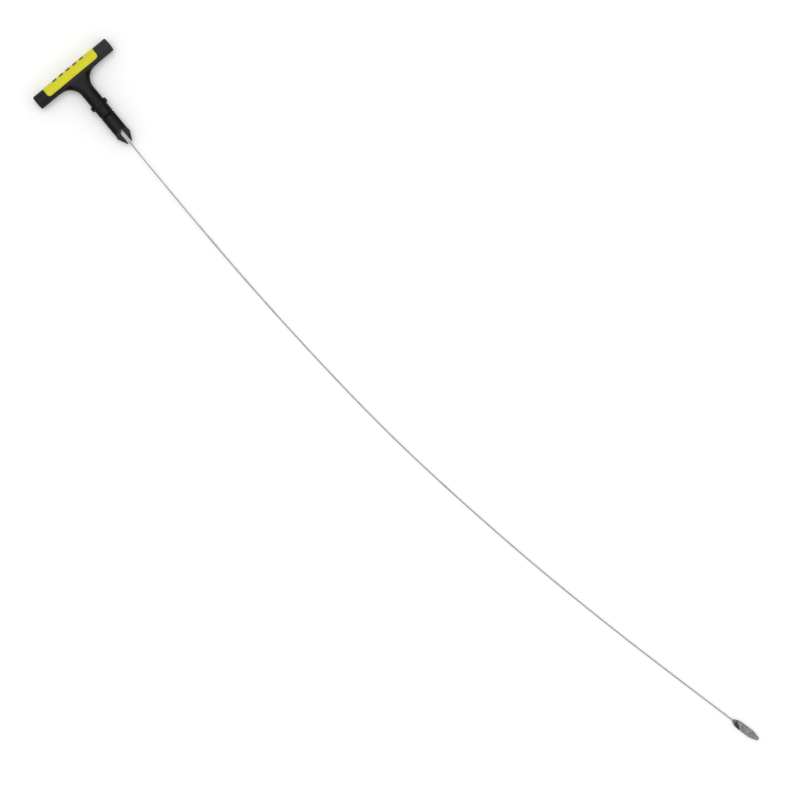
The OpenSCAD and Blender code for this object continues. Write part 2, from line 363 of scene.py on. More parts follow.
blastedLook = {
    "tones": ((0.17, 0.17, 0.166), (0.31, 0.308, 0.30)),
    "plain": (0.205, 0.203, 0.199),
    "groove": (0.095, 0.093, 0.088),
    "rim": (0.13, 0.13, 0.127),
    "roughness": (0.42, 0.60),
}


def blastedSteel():
    s = blastedLook
    mat = newMaterial("blastedSteel", (0.23, 0.23, 0.225), 0.5, 0.55)
    where = objectSpace(mat)
    tone = remap(mat, noise(mat, where, 420, 4, 0.6), 0.36, 0.64, 0.0, 1.0)
    plain = mathNode(mat, "MULTIPLY", attribute(mat, "plain"), 0.75)
    color = mixColor(mat, plain, mixColor(mat, tone, *s["tones"]), s["plain"])
    color = tint(mat, color, s, "groove", "rim")
    grit = noise(mat, where, 9000, 3)
    rough = spread(mat, grit, *s["roughness"])
    return dress(mat, color, rough, bump(mat, grit, 0.00001, 0.7))


floorLook = {
    "tones": ((0.92, 0.92, 0.92), (0.94, 0.94, 0.94)),
    "specular": 0.1,
}


def paleFloor():
    s = floorLook
    mat = newMaterial("paleFloor", (0.93, 0.93, 0.93), 0.85, specular=s["specular"])
    return dress(mat, mixColor(mat, noise(mat, objectSpace(mat), 3, 2), *s["tones"]))


materials = {
    "nylon": blackNylon(),
    "yellow": yellowMoulding(),
    "inlay": blackInlay(),
    "rubber": oiledRubber(),
    "plated": platedSteel(),
    "strand": strandSteel(),
    "pressed": pressedSteel(),
    "blasted": blastedSteel(),
    "floor": paleFloor(),
}
print("materials made:", ", ".join(materials))


def newObject(name, vertices, faces):
    mesh = bpy.data.meshes.new(name)
    mesh.from_pydata([tuple(v) for v in vertices], [], [tuple(f) for f in faces])
    mesh.validate()
    mesh.update()
    return addObject(name, mesh)


def getPoints(mesh):
    points = np.empty(len(mesh.vertices) * 3)
    mesh.vertices.foreach_get("co", points)
    return points.reshape(-1, 3)


def faceOutwards(made, mergeWithin=1e-5):
    work = bmesh.new()
    work.from_mesh(made.data)
    if mergeWithin:
        bmesh.ops.remove_doubles(work, verts=work.verts, dist=mergeWithin)
    bmesh.ops.recalc_face_normals(work, faces=work.faces)
    work.to_mesh(made.data)
    work.free()


def evaluatedMesh(made):
    return bpy.data.meshes.new_from_object(made.evaluated_get(bpy.context.evaluated_depsgraph_get()))


def applyModifiers(made):
    # the evaluated mesh takes the place of the old one, with no modifier left
    old, done = made.data, evaluatedMesh(made)
    made.modifiers.clear()
    made.data = done
    bpy.data.meshes.remove(old)


def cutOrJoin(made, tool, operation):
    change = made.modifiers.new("change", "BOOLEAN")
    change.operation = operation
    change.solver = "EXACT"
    change.object = tool
    applyModifiers(made)
    bpy.data.objects.remove(tool, do_unlink=True)


def storeValue(made, name, values):
    layer = made.data.attributes.new(name, "FLOAT", "POINT")
    layer.data.foreach_set("value", np.ascontiguousarray(values, dtype=np.float32))


def storeOnBoth(made, name, grid):
    # the same values on the two layers of a closed grid
    storeValue(made, name, np.tile(grid.ravel(), 2))


def finishPiece(made, mat, node, sharp=35):
    # to metres, smooth shaded with sharp edges kept, one material, riding on the body
    made.data.transform(Matrix.Scale(mm, 4))
    made.data.materials.clear()
    made.data.materials.append(mat)
    made.data.shade_smooth()
    made.data.set_sharp_from_angle(angle=math.radians(sharp))
    made.data.update()
    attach(made, "root")
    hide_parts(node)
    print("  ", made.name, len(made.data.polygons), "faces")
    return made


def unit(x):
    return np.clip(x, 0, 1)


def smoothShare(share):
    return share * share * (3 - 2 * share)


def crowded(count, power):
    # values from -1 to 1 that lie closer together towards the ends
    even = np.linspace(-1, 1, count)
    return np.sign(even) * (1 - (1 - np.abs(even)) ** power)


def travelled(points):
    # distance along a line of points, at each of them
    return np.concatenate([[0], np.cumsum(np.linalg.norm(np.diff(points, axis=0), axis=1))])


def evenPoints(points, count, closed=False):
    travel = travelled(points)
    even = np.linspace(0, travel[-1], count, endpoint=not closed)
    return np.stack([np.interp(even, travel, column) for column in points.T], axis=1)


def arcPoints(centre, radius, fromAngle, toAngle, steps):
    angles = np.radians(np.linspace(fromAngle, toAngle, steps + 1))
    return [(centre[0] + radius * math.cos(a), centre[1] + radius * math.sin(a)) for a in angles]


def lathe(name, profile, segments):
    # turns (x, radius) points about the X axis, where a radius of 0 is a pole
    vertices, rings, faces = [], [], []
    for x, radius in profile:
        size = segments if radius else 1
        rings.append(list(range(len(vertices), len(vertices) + size)))
        for k in range(size):
            turn = 2 * math.pi * k / segments
            vertices.append((x, radius * math.cos(turn), radius * math.sin(turn)))
    for a, b in zip(rings, rings[1:]):
        for k in range(segments):
            following = (k + 1) % segments
            corners = [a[k % len(a)], a[following % len(a)], b[following % len(b)], b[k % len(b)]]
            face = list(dict.fromkeys(corners))
            if len(face) > 2:
                faces.append(face)
    made = newObject(name, vertices, faces)
    faceOutwards(made)
    return made


def tubeFromRings(name, rings):
    # closed skin over rings of equal size, where the last ring joins the first
    count, size = len(rings), len(rings[0])
    faces = []
    for i in range(count):
        for k in range(size):
            a, b = i * size + k, i * size + (k + 1) % size
            c = (i + 1) % count * size + k
            d = (i + 1) % count * size + (k + 1) % size
            faces.append([a, b, d, c])
    made = newObject(name, np.concatenate(rings), faces)
    faceOutwards(made)
    return made


def closedGrid(name, layers):
    # solid between two grids of points with the same rows and columns
    rows, columns = layers[0].shape[:2]
    count = rows * columns
    faces = []
    for i in range(rows - 1):
        for j in range(columns - 1):
            a = i * columns + j
            quad = [a, a + columns, a + columns + 1, a + 1]
            faces.append(quad)
            faces.append([count + v for v in reversed(quad)])
    border = (
        list(range(columns))
        + [i * columns + columns - 1 for i in range(1, rows)]
        + [(rows - 1) * columns + j for j in range(columns - 2, -1, -1)]
        + [i * columns for i in range(rows - 2, 0, -1)]
    )
    for a, b in zip(border, border[1:] + border[:1]):
        faces.append([b, count + b, count + a, a])
    return newObject(name, np.concatenate([layer.reshape(-1, 3) for layer in layers]), faces)


def edgeDrop(distance, radius):
    # how far a rounded edge falls below the flat at this distance from the rim
    inside = unit(1 - distance / radius)
    return radius * (1 - np.sqrt(unit(1 - inside**2)))


def grooveShare(offset, halfWidth):
    # 1 in the middle of a groove, falling smoothly to 0 at its edges
    return smoothShare(unit(1 - np.abs(offset) / halfWidth))


cableSet = {
    "diameter": 1.0,  # mm, over the outer wires
    "outerWires": 6,
    "layLength": 9.0,  # mm along the cable for one turn of a wire
    "step": 0.75,  # mm between two rings of a wire
    "sides": 8,
    "restZ": -6.1,  # the cable's middle where it lies on the surface
    "angle": 13.5,  # degrees, the direction it enters the crimp in
    "hold": 1.9,  # mm that goes into the crimp
    "inSleeve": 3.0,  # mm of the drawn cable that lies inside the sleeve
    "curveSteps": 60,  # points worked out between two points of the route
    "pointGap": 2.0,  # mm between the points of the finished line
}

# the cable's middle in mm, through the same points as the CAD tube
cableRoute = np.array([
    (46, -0.2, 0.0), (62, -0.2, -0.3), (82, -0.2, -1.1),
    (110, 0.0, -3.0), (140, 0.4, -5.0), (170, 1.2, -6.0),
    (200, 2.4, -6.1), (240, 4.6, -6.1), (280, 7.5, -6.1),
    (320, 11.5, -6.1), (360, 16.7, -6.1), (400, 22.8, -6.1),
    (440, 29.6, -6.1), (480, 37.3, -6.1), (520, 45.7, -6.1),
    (560, 54.8, -6.1), (590, 61.8, -6.1), (612, 67.0, -5.7),
])
bladeAt = cableRoute[-1]
bladeTurn = math.radians(cableSet["angle"])
bladeAlong = np.array([math.cos(bladeTurn), math.sin(bladeTurn), 0.0])


def cableLine():
    # smooth curve through the route, then evenly spaced points
    s = cableSet
    inside = [(sleeveLow[0] + 0.5, 0, 0), (sleeveHigh[0], 0, 0)]
    knots = np.vstack([inside, cableRoute, bladeAt + s["hold"] * bladeAlong])
    reach = np.vstack([knots[1:], knots[-1:]]) - np.vstack([knots[:1], knots[:-1]])
    slopes = reach / reach[:, :1]
    line = []
    for a, b, slopeA, slopeB in zip(knots, knots[1:], slopes, slopes[1:]):
        run = b[0] - a[0]
        for u in np.linspace(0, 1, s["curveSteps"], endpoint=False):
            line.append(
                (2 * u**3 - 3 * u**2 + 1) * a
                + (u**3 - 2 * u**2 + u) * run * slopeA
                + (3 * u**2 - 2 * u**3) * b
                + (u**3 - u**2) * run * slopeB
            )
    line = np.array(line + [knots[-1]])
    line[:, 2] = np.maximum(line[:, 2], s["restZ"])
    line = line[line[:, 0] > sleeveHigh[0] - s["inSleeve"]]
    return evenPoints(line, int(travelled(line)[-1] / s["pointGap"]) + 1)


def newTree(name, inputs):
    # Geometry Nodes tree that takes a shape, these inputs and a material
    tree = bpy.data.node_groups.new(name, "GeometryNodeTree")
    tree.interface.new_socket("Geometry", in_out="OUTPUT", socket_type="NodeSocketGeometry")
    for label, kind in {"Geometry": "Geometry", **inputs, "Material": "Material"}.items():
        tree.interface.new_socket(label, in_out="INPUT", socket_type="NodeSocket" + kind)
    return tree, addNode(tree, "NodeGroupInput").outputs


def endTree(tree, geometry, mat):
    real = addNode(tree, "GeometryNodeRealizeInstances", {"Geometry": geometry}).outputs[0]
    dressed = addNode(tree, "GeometryNodeSetMaterial", {"Geometry": real, "Material": mat})
    addNode(tree, "NodeGroupOutput", {0: dressed.outputs[0]})
    return tree


def growWith(made, tree, values):
    grow = made.modifiers.new(tree.name, "NODES")
    grow.node_group = tree
    for item in tree.interface.items_tree:
        if item.in_out == "INPUT" and item.name in values:
            grow[item.identifier] = values[item.name]


def vectorNode(tree, operation, inputs):
    return addNode(tree, "ShaderNodeVectorMath", inputs, operation=operation).outputs[0]


def strandTree():
    # a middle wire along the curve, and the outer wires laid round it
    floats = dict.fromkeys(("Wire Radius", "Lay Length", "Step"), "Float")
    tree, given = newTree("strandedCable", {**floats, "Outer Wires": "Int", "Sides": "Int"})
    resampling = {"Curve": given["Geometry"], "Length": given["Step"]}
    line = addNode(tree, "GeometryNodeResampleCurve", resampling, mode="LENGTH").outputs[0]
    wires = {"Geometry": line, "Amount": given["Outer Wires"]}
    copies = addNode(tree, "GeometryNodeDuplicateElements", wires, domain="SPLINE")
    along = addNode(tree, "GeometryNodeSplineParameter").outputs["Length"]
    turn = mathNode(tree, "DIVIDE", along, given["Lay Length"])
    share = mathNode(tree, "DIVIDE", copies.outputs["Duplicate Index"], given["Outer Wires"])
    angle = mathNode(tree, "MULTIPLY", mathNode(tree, "ADD", turn, share), 2 * math.pi)
    radius = mathNode(tree, "MULTIPLY", given["Wire Radius"], 2.0)
    normal = addNode(tree, "GeometryNodeInputNormal").outputs[0]
    tangent = addNode(tree, "GeometryNodeInputTangent").outputs[0]
    across = vectorNode(tree, "CROSS_PRODUCT", {0: tangent, 1: normal})
    parts = []
    for direction, wave in ((normal, "COSINE"), (across, "SINE")):
        amount = mathNode(tree, "MULTIPLY", mathNode(tree, wave, angle), radius)
        parts.append(vectorNode(tree, "SCALE", {0: direction, "Scale": amount}))
    offset = vectorNode(tree, "ADD", {0: parts[0], 1: parts[1]})
    moved = {"Geometry": copies.outputs[0], "Offset": offset}
    laid = addNode(tree, "GeometryNodeSetPosition", moved).outputs[0]
    section = {"Radius": given["Wire Radius"], "Resolution": given["Sides"]}
    ring = addNode(tree, "GeometryNodeCurvePrimitiveCircle", section).outputs[0]
    both = addNode(tree, "GeometryNodeJoinGeometry")
    for curve in (line, laid):
        skin = {"Curve": curve, "Profile Curve": ring, "Fill Caps": True}
        wire = addNode(tree, "GeometryNodeCurveToMesh", skin)
        tree.links.new(wire.outputs[0], both.inputs[0])
    return endTree(tree, both.outputs[0], given["Material"])


def makeCable(line):
    s = cableSet
    curve = bpy.data.curves.new("cableLine", "CURVE")
    curve.dimensions = "3D"
    spline = curve.splines.new("POLY")
    spline.points.add(len(line) - 1)
    for point, at in zip(spline.points, line):
        point.co = (*at, 1)
    guide = addObject("cableLine", curve)
    growWith(guide, strandTree(), {
        "Wire Radius": s["diameter"] / 6,
        "Outer Wires": s["outerWires"],
        "Lay Length": s["layLength"],
        "Step": s["step"],
        "Sides": s["sides"],
        "Material": materials["strand"],
    })
    mesh = evaluatedMesh(guide)
    bpy.data.objects.remove(guide, do_unlink=True)
    made = addObject("cable_strands", mesh)
    return finishPiece(made, materials["strand"], "cable", sharp=60)


cablePath = cableLine()
cable = makeCable(cablePath)

bladeSet = {
    "length": 22.3,
    "width": 5.4,
    "thickness": 1.0,
    "rootX": 2.5,  # where the drawn plate starts, inside the crimp
    "shoulderX": 6.2,  # full width from here
    "neckX": 3.2,
    "neckWidth": 4.7,
    "startWidth": 1.8,
    "taper": 6.2,  # length of the narrowing end
    "tipRadius": 1.3,
    "tipAngle": 75,  # degrees of the tip's arc on each side
    "tipRows": 14,
    "edge": 0.22,  # rounding of the plate's edges
    "levelLines": (7.6, 11.1),
    "lineWidth": 0.5,
    "lineDepth": 0.14,
    "hatchPitch": 1.4,  # spacing of the crossed grooves
    "hatchWidth": 0.55,
    "hatchDepth": 0.10,
    "fields": ((7.9, 10.8), (14.6, 18.6)),  # the two hatched stretches
    "fade": 0.15,  # over this length the grooves run out at a field's border
    "border": 0.5,  # plain margin along the edges
    "smooth": ((5.6, 1.1), (12.9, 1.5)),  # middle and half length of the even grey bands
    "rows": 230,
    "columns": 66,
    "crowding": 1.35,
}


def bladeHalfWidth(x):
    s = bladeSet
    turn = math.radians(s["tipAngle"])
    tipX = s["length"] - s["tipRadius"]
    tipStart = tipX + s["tipRadius"] * math.cos(turn)
    straight = np.interp(
        x,
        [0, s["neckX"], s["shoulderX"], s["length"] - s["taper"], tipStart],
        [s["startWidth"] / 2, s["neckWidth"] / 2, s["width"] / 2, s["width"] / 2,
         s["tipRadius"] * math.sin(turn)],
    )
    inTip = np.clip(s["tipRadius"] ** 2 - (x - tipX) ** 2, 0, None)
    return np.where(x > tipStart, np.sqrt(inTip), straight)


def hatch(x, y):
    # depth that the crossed grooves and the level lines cut at a point
    s = bladeSet
    depth = np.zeros_like(x)
    for side in (-1, 1):
        run = (x + side * y) / math.sqrt(2)
        off = (run + s["hatchPitch"] / 2) % s["hatchPitch"] - s["hatchPitch"] / 2
        depth = np.maximum(depth, grooveShare(off, s["hatchWidth"] / 2))
    inField = 0
    for a, b in s["fields"]:
        inField = inField + unit((x - a) / s["fade"]) * unit((b - x) / s["fade"])
    margin = unit((bladeHalfWidth(x) - s["border"] - np.abs(y)) / s["fade"])
    cut = depth * inField * margin * s["hatchDepth"]
    for at in s["levelLines"]:
        cut = np.maximum(cut, s["lineDepth"] * grooveShare(x - at, s["lineWidth"] / 2))
    return cut


def plateFromGrid(name, xs, ys, tops):
    # closed plate from a grid of plan points, placed at the cable's end
    upper = np.stack([xs, ys, tops], axis=-1)
    made = closedGrid(name, [upper, upper * [1, 1, -1]])
    turn = Matrix.Rotation(bladeTurn, 4, "Z")
    made.data.transform(Matrix.Translation(Vector(bladeAt)) @ turn)
    return made


def makeBlade():
    s = bladeSet
    tipX = s["length"] - s["tipRadius"]
    tipRun = s["tipRadius"] - 0.004  # the last row keeps a little width
    tip = tipX + tipRun * np.sin(np.linspace(0, math.pi / 2, s["tipRows"])[1:])
    x = np.concatenate([np.linspace(s["rootX"], tipX, s["rows"]), tip])
    xs = np.repeat(x[:, None], s["columns"], axis=1)
    half = bladeHalfWidth(xs)
    ys = half * crowded(s["columns"], s["crowding"])[None, :]
    rim = np.minimum(half - np.abs(ys), np.maximum(s["length"] - xs, 0))
    cut = hatch(xs, ys)
    tops = s["thickness"] / 2 - edgeDrop(rim, s["edge"]) - cut
    made = plateFromGrid("level_blade", xs, ys, tops)
    away = np.min([np.abs(xs - middle) / reach for middle, reach in s["smooth"]], axis=0)
    storeOnBoth(made, "groove", unit(cut / s["hatchDepth"]))
    storeOnBoth(made, "rim", unit(1.4 - rim / s["border"]) * 0.75)
    storeOnBoth(made, "plain", unit(1.5 - away))
    return finishPiece(made, materials["blasted"], "blade", sharp=50)


crimpSet = {
    "thickness": 1.8,
    "overlap": 0.06,  # how far it stands past the blade's edges
    "shortSide": 2.7,
    "slant": 4.7,  # extra length on the other side
    "tongue": (0.9, -1.4), # across the blade, where the longer side begins and is complete
    "flatness": 3.5,  # how much squarer the section gets over the plate
    "seamWidth": 0.16,
    "seamDepth": 0.22,
    "seamShift": 0.25,
    "dents": (1.5, 2.4),  # where the tool pressed it
    "dentHalf": 0.45,
    "dentDepth": 0.12,
    "edge": 0.12,
    "thinnest": 0.015,
    # where the band of oil and painted shade begins, and the length it grows over
    "oilAndShadeFrom": 1.6,
    "oilAndShadeOver": 1.4,
    "rows": 60,
    "columns": 40,
}


def makeCrimp():
    # sections go from a round barrel on the cable to a flat lens over the plate
    s = crimpSet
    along = np.linspace(0, 1, s["rows"])[:, None]
    side = np.sin(np.linspace(-1, 1, s["columns"])[None, :] * math.pi / 2)
    bladeHalf = bladeSet["width"] / 2
    start, full = s["tongue"]
    step = smoothShare(unit((start - side * bladeHalf) / (start - full)))
    reach = s["shortSide"] + s["slant"] * (0.45 * (0.5 - side / 2) + 0.55 * step)
    xs = along * reach
    half = np.minimum(bladeHalfWidth(xs), bladeHalf) + s["overlap"]
    ys = half * side
    flat = unit(xs / s["shortSide"]) ** 0.6
    power = 2 + s["flatness"] * flat
    bulge = unit(1 - np.abs(ys / half) ** power) ** (1 / power)
    tops = s["thickness"] / 2 * np.maximum(bulge, 0.02)
    seam = grooveShare(ys + s["seamShift"] * flat, s["seamWidth"] / 2) * unit(flat * 3)
    middle = unit(1.3 - np.abs(ys) / half * 1.5)
    dents = sum(grooveShare(xs - at, s["dentHalf"]) * middle for at in s["dents"])
    toEnd = (1 - along) * reach
    tops = tops - s["seamDepth"] * seam - s["dentDepth"] * dents
    tops = np.maximum(tops - edgeDrop(toEnd, s["edge"]) * 0.8, s["thinnest"])
    made = plateFromGrid("tip_crimp_shell", xs, ys, tops)
    rim = np.minimum(toEnd, half - np.abs(ys))
    storeOnBoth(made, "rim", unit(1 - rim / 0.15) * 0.15)
    # oil residue and painted shade, growing towards the mouth
    storeOnBoth(made, "oilAndShade", unit((xs - 0.2 * ys - s["oilAndShadeFrom"]) / s["oilAndShadeOver"]))
    return finishPiece(made, materials["pressed"], "tip_crimp", sharp=50)


blade = makeBlade()
crimp = makeCrimp()
print("blade and crimp made")

handleSet = {
    "barRadius": 5.2,
    "barEdge": 0.55,  # rounding at the bar's ends
    "barCrown": 0.4,  # how far the ends bulge
    "neckRadius": 5.15,
    "blendRadius": 10.6,  # concave sweep from the bar to the neck
    "neckHalf": 4.2,  # half thickness of the neck where it meets the bar
    "neckFlat": 0.5,  # share of the neck's width that is flat there
    "neckSlope": 1.6,  # how straight the slopes beside the flat are, 1 is straight
    "softness": 1.2,  # how softly the neck runs into the bar
    "voxel": 0.32,
    "relaxRounds": 6,
    "wear": 1.2,  # how strongly convex edges look rubbed
    "wearFrom": 0.06,
}

plugSet = {
    "radius": 5.1,  # of the land between the collar and the seal
    "barrelRelief": 0.05,  # how much thinner the plug is past the groove
    "collarThickness": 3.7,
    "collarEdge": 0.9,
    "collarFront": 1.3,  # larger rounding on the side that enters first
    "landLength": 6.3,
    "grooveWidth": 2.7,
    "grooveDepth": 1.3,
    "grooveLip": 0.15,  # bevel at the groove's mouth
    "grooveFoot": 0.1,  # bevel at its bottom
    "noseLength": 6.5,
    "splay": 0.25,
    "splayLength": 5.0,
    "noseTipRadius": 2.05,
    "slotDepth": 10.8,
    "slotSlant": 2.4,
    "slotGap": 0.06,
    "foot": 0.2,  # small fillet behind the collar
    "segments": 96,
}

barX = handleLow[0] + handleSet["barRadius"]
barHalf = handleHigh[1]
neckEndX = barX + handleSet["barRadius"] + handleSet["blendRadius"]
coreEndX = -plugSet["collarThickness"] / 2
noseEndX = handleHigh[0]


def barField(p):
    s = handleSet
    radial = np.hypot(p[:, 0] - barX, p[:, 2])
    reach = barHalf - s["barCrown"] * (radial / s["barRadius"]) ** 2
    a = radial - (s["barRadius"] - s["barEdge"])
    b = np.abs(p[:, 1]) - (reach - s["barEdge"])
    outside = np.hypot(np.maximum(a, 0), np.maximum(b, 0))
    return np.minimum(np.maximum(a, b), 0) + outside - s["barEdge"]


def neckHalfWidth(x):
    s = handleSet
    into = np.clip(neckEndX - x, 0, s["blendRadius"])
    return s["neckRadius"] + s["blendRadius"] - np.sqrt(s["blendRadius"] ** 2 - into**2)


def neckField(p):
    s = handleSet
    x = p[:, 0]
    half = neckHalfWidth(x)
    share = smoothShare(unit((neckEndX - x) / (s["blendRadius"] + 1.5)))
    thick = s["neckRadius"] + (s["neckHalf"] - s["neckRadius"]) * share
    flat = s["neckFlat"] * share * half
    slope = half - flat
    u = np.maximum(np.abs(p[:, 1]) - flat, 0) / slope
    w = np.abs(p[:, 2]) / thick
    across = u ** (2 + (s["neckSlope"] - 2) * share) + w ** (2 + 0.4 * share)
    side = (np.sqrt(across) - 1) * np.minimum(slope, thick)
    return np.maximum(np.maximum(side, barX - x), x - coreEndX)


def coreField(p):
    # bar and neck, run together softly where they meet
    soft = handleSet["softness"]
    a, b = barField(p), neckField(p)
    near = np.maximum(soft - np.abs(a - b), 0) / soft
    return np.minimum(a, b) - near * near * soft / 4


def ontoSurface(points, field, rounds):
    nudge = 0.02
    farthest = 0.3
    for _ in range(rounds):
        value = field(points)
        slope = np.stack(
            [(field(points + n) - field(points - n)) / (2 * nudge) for n in np.eye(3) * nudge], axis=1
        )
        size = np.maximum((slope**2).sum(axis=1), 0.05)
        points = points - np.clip(value / size, -farthest, farthest)[:, None] * slope
    return points


def relaxOnto(mesh, field, rounds):
    edges = np.empty(len(mesh.edges) * 2, dtype=np.int64)
    mesh.edges.foreach_get("vertices", edges)
    edges = edges.reshape(-1, 2)
    points = ontoSurface(getPoints(mesh), field, 4)
    count = np.bincount(edges.ravel(), minlength=len(points))[:, None]
    for _ in range(rounds):
        total = np.zeros_like(points)
        np.add.at(total, edges[:, 0], points[edges[:, 1]])
        np.add.at(total, edges[:, 1], points[edges[:, 0]])
        points = ontoSurface(0.5 * points + 0.5 * total / np.maximum(count, 1), field, 2)
    mesh.vertices.foreach_set("co", np.ascontiguousarray(points, dtype=np.float32).ravel())
    mesh.update()


def roughNeck():
    # oval rings from inside the bar to inside the collar, with flat ends
    size = 48
    turns = np.linspace(0, 2 * math.pi, size, endpoint=False)
    xs = np.linspace(barX + 0.5, coreEndX, 60)
    high = handleSet["neckHalf"]
    vertices = [(x, neckHalfWidth(x) * math.cos(t), high * math.sin(t)) for x in xs for t in turns]
    faces = [list(range(size)), list(range(len(vertices) - size, len(vertices)))]
    for start in range(0, len(vertices) - size, size):
        for k in range(size):
            a, b = start + k, start + (k + 1) % size
            faces.append([a, b, b + size, a + size])
    neck = newObject("neck", vertices, faces)
    faceOutwards(neck)
    return neck


def makeCore():
    # rough shells of the bar and the neck, merged by a voxel remesh, then laid on the true surface
    end, shoulder = barHalf, barHalf - 0.8
    profile = [(-end, 0), (-end, 4.2), (-shoulder, 4.9), (shoulder, 4.9), (end, 4.2), (end, 0)]
    bar = lathe("core", profile, 64)
    bar.data.transform(
        Matrix.Translation(Vector((barX, 0, 0))) @ Matrix.Rotation(math.pi / 2, 4, "Z")
    )
    cutOrJoin(bar, roughNeck(), "UNION")
    remesh = bar.modifiers.new("merge", "REMESH")
    remesh.mode = "VOXEL"
    remesh.voxel_size = handleSet["voxel"]
    applyModifiers(bar)
    relaxOnto(bar.data, coreField, handleSet["relaxRounds"])
    return bar


def plugProfile():
    # (x, radius) from behind the collar to the nose, with close rings at each edge
    s = plugSet
    radius = s["radius"]
    barrel = radius - s["barrelRelief"]
    behind = handleSet["neckRadius"]
    collar = handleHigh[2]
    edge, front, foot = s["collarEdge"], s["collarFront"], s["foot"]
    back = -s["collarThickness"]
    land, lip, bevel = s["landLength"], s["grooveLip"], s["grooveFoot"]
    grooveEnd = land + s["grooveWidth"]
    floor = radius - s["grooveDepth"]
    shoulder = noseEndX - s["noseLength"]
    wide = radius + s["splay"]
    tip = s["noseTipRadius"]
    return (
        [(back - foot - 0.3, 0), (back - foot - 0.3, behind - 0.5)]
        + arcPoints((back - foot, behind + foot - 0.06), foot, -90, 0, 5)
        + arcPoints((back + edge, collar - edge), edge, 180, 90, 7)
        + arcPoints((-front, collar - front), front, 90, 0, 9)
        + [(0, radius + 0.12), (0.05, radius + 0.03), (0.15, radius), (0.5, radius)]
        + [(land - 0.5, radius), (land - lip, radius), (land, radius - lip)]
        + [(land, floor + bevel), (land + bevel, floor)]
        + [(grooveEnd - bevel, floor), (grooveEnd, floor + bevel)]
        + [(grooveEnd, barrel - lip), (grooveEnd + lip, barrel), (grooveEnd + 0.5, barrel)]
        + [(shoulder - s["splayLength"], barrel), (shoulder - s["splayLength"] / 2, radius + 0.05)]
        + [(shoulder - 0.8, wide - 0.02), (shoulder - 0.4, wide), (shoulder, wide - 0.04)]
        + [(shoulder + 0.25, wide - 0.16), (shoulder + 0.6, wide - 0.36)]
        + [(noseEndX - 0.6, tip + 0.28), (noseEndX - 0.25, tip + 0.1)]
        + [(noseEndX - 0.06, tip - 0.06), (noseEndX, tip - 0.25), (noseEndX, 0)]
    )


def prism(name, lower, upper):
    # solid between two outlines with the same number of corners
    size = len(lower)
    faces = [list(range(size)), list(range(2 * size - 1, size - 1, -1))]
    faces += [[k, (k + 1) % size, (k + 1) % size + size, k + size] for k in range(size)]
    made = newObject(name, [*lower, *upper], faces)
    faceOutwards(made)
    return made


def slotTool():
    s = plugSet
    half = sleeveSet["half"] + s["slotGap"]
    longSide = noseEndX - s["slotDepth"]
    past = noseEndX + 2
    plan = [(longSide, half), (longSide + s["slotSlant"], -half), (past, -half), (past, half)]
    return prism("slotTool", *[[(x, y, z) for x, y in plan] for z in (-8, 8)])


sleeveSet = {
    "half": 1.5,  # half the width and height of the square section
    "edge": 0.5,  # radius of its long edges
    "headRadius": 2.3,
    "headLength": 1.5,
    "headBevel": 0.15,
    "bore": 0.53,
    "chamfer": 0.14,
    "seamWidth": 0.34,
    "seamDepth": 0.1,
    "dents": (1.5, 4.1, 6.7, 9.3),  # pressed marks, mm back from the open end
    "dentHalf": 0.75,
    "dentDepth": 0.02,
    "paintedSlotLightBack": (2.5, 9.0),  # mm back from the open end, over which the painted light comes in
    "cavity": (14, 0.02),  # length and gap of the hole for it in the plug
    "samples": 168,  # points round the section
    "rings": 200,
}


def roundSquare(half, edge, samples):
    # evenly spaced points round a square with round corners, as (y, z)
    corner = half - edge
    dense = []
    for k in range(4):
        middle = math.radians(45 + 90 * k)
        centre = (math.copysign(corner, math.cos(middle)), math.copysign(corner, math.sin(middle)))
        dense += arcPoints(centre, edge, 90 * k, 90 * k + 90, 16)
    return evenPoints(np.array(dense + dense[:1]), samples, closed=True)


def sleeveHole():
    # square bar a little larger than the sleeve, to cut its cavity
    length, gap = sleeveSet["cavity"]
    section = roundSquare(sleeveSet["half"] + gap, sleeveSet["edge"] + gap, 48)
    ends = (sleeveHigh[0] - length, noseEndX + 1)
    return prism("hole", *[[(x, y, z) for y, z in section] for x in ends])


def makeSleeve():
    # square tube with a folded seam on top and pressed marks, on a round head
    s = sleeveSet
    end, start = sleeveHigh[0], sleeveLow[0]
    square = roundSquare(s["half"], s["edge"], s["samples"])
    turns = np.arctan2(square[:, 1], square[:, 0])
    circle = np.stack([np.cos(turns), np.sin(turns)], axis=1)
    top = unit(np.abs(square[:, 1]) / s["half"] * 4 - 3)
    seam = grooveShare(square[:, 0], s["seamWidth"] / 2) * (square[:, 1] > 0)

    def at(x, section):
        return np.column_stack([np.full(len(section), x), section])

    radius, bevel, headEnd = s["headRadius"], s["headBevel"], start + s["headLength"]
    rings = [
        at(start, circle * (radius - bevel)),
        at(start + bevel, circle * radius),
        at(headEnd - bevel, circle * radius),
        at(headEnd, circle * (radius - bevel)),
    ]
    for x in np.linspace(headEnd, end - s["chamfer"], s["rings"]):
        dent = sum(grooveShare(end - back - x, s["dentHalf"]) for back in s["dents"])
        wall = square.copy()
        wall[:, 1] *= 1 - (s["dentDepth"] * dent + s["seamDepth"] * seam) / s["half"] * top
        rings.append(at(x, wall))
    rings += [
        at(end, square * (1 - s["chamfer"] / s["half"])),
        at(end, circle * (s["bore"] + 0.1)),
        at(end - 0.1, circle * s["bore"]),
        at(start, circle * s["bore"]),
    ]
    made = tubeFromRings("anchor_tube", rings)
    points = getPoints(made.data)
    fold = grooveShare(points[:, 1], s["seamWidth"] / 2) * (points[:, 2] > s["half"] * 0.6)
    near, far = s["paintedSlotLightBack"]
    storeValue(made, "fold", fold)
    # painted light, growing towards the slot's blind end
    storeValue(made, "deep", unit((end - near - points[:, 0]) / (far - near)))
    return finishPiece(made, materials["plated"], "anchor_sleeve", sharp=40)


